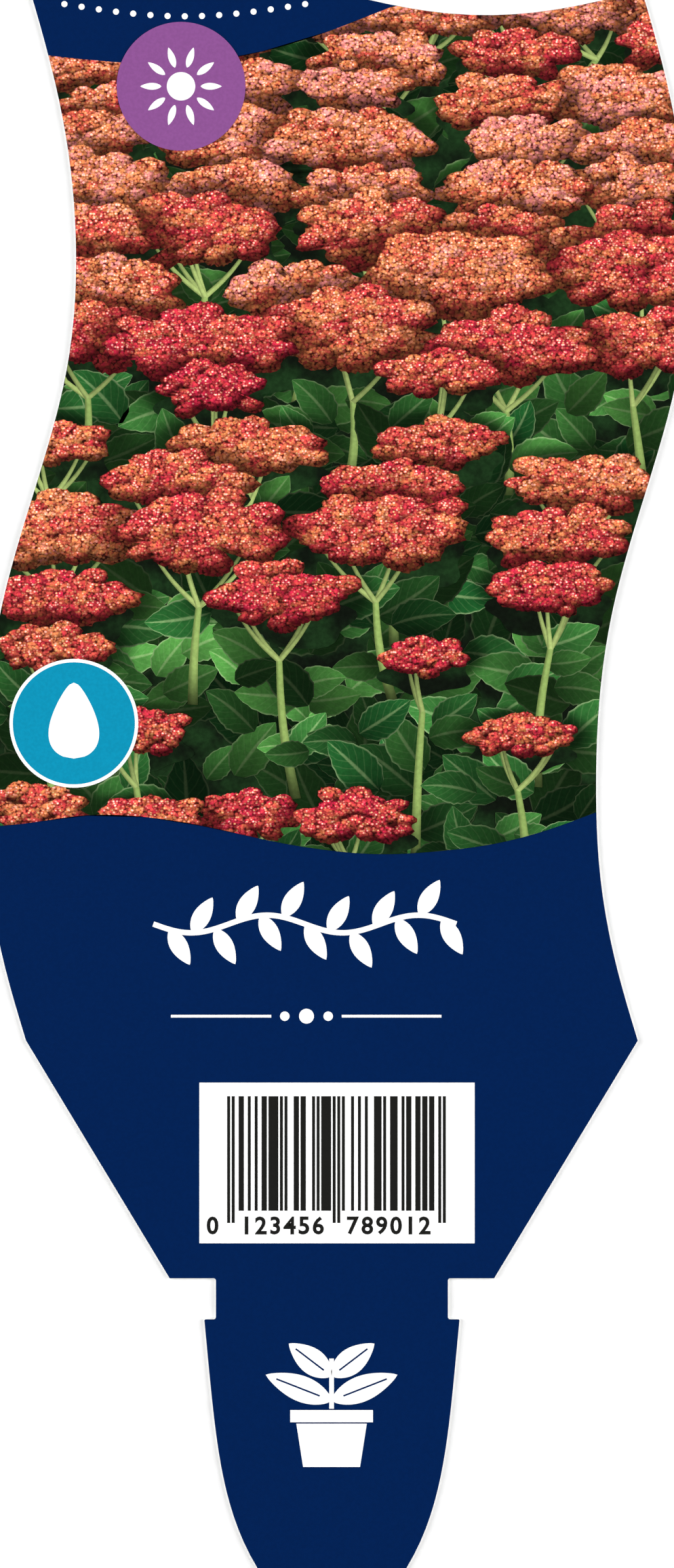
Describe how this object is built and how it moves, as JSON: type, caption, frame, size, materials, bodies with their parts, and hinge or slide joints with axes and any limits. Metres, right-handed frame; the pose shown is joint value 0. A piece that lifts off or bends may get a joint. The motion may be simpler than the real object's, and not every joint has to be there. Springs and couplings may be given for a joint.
{
  "type": "plant label",
  "caption": "Die-cut printed plastic plant label with wavy sides, pointed shoulders, a notched neck that locks in a pot's slot and a tapered stake for pushing into soil.",
  "frame": {"origin": "middle of the label's box, on the back face that it lies on", "axes": "+X is the label's right, +Y runs from the stake's tip to the top edge, +Z is out of the printed face"},
  "size_m": [0.081, 0.1938, 0.0005],
  "materials": {
    "printed_sheet": "polypropylene sheet printed in colour on the front, white on the back, satin varnish"
  },
  "bodies": {
    "root": {"label_sheet": "printed_sheet"}
  },
  "joints": []
}
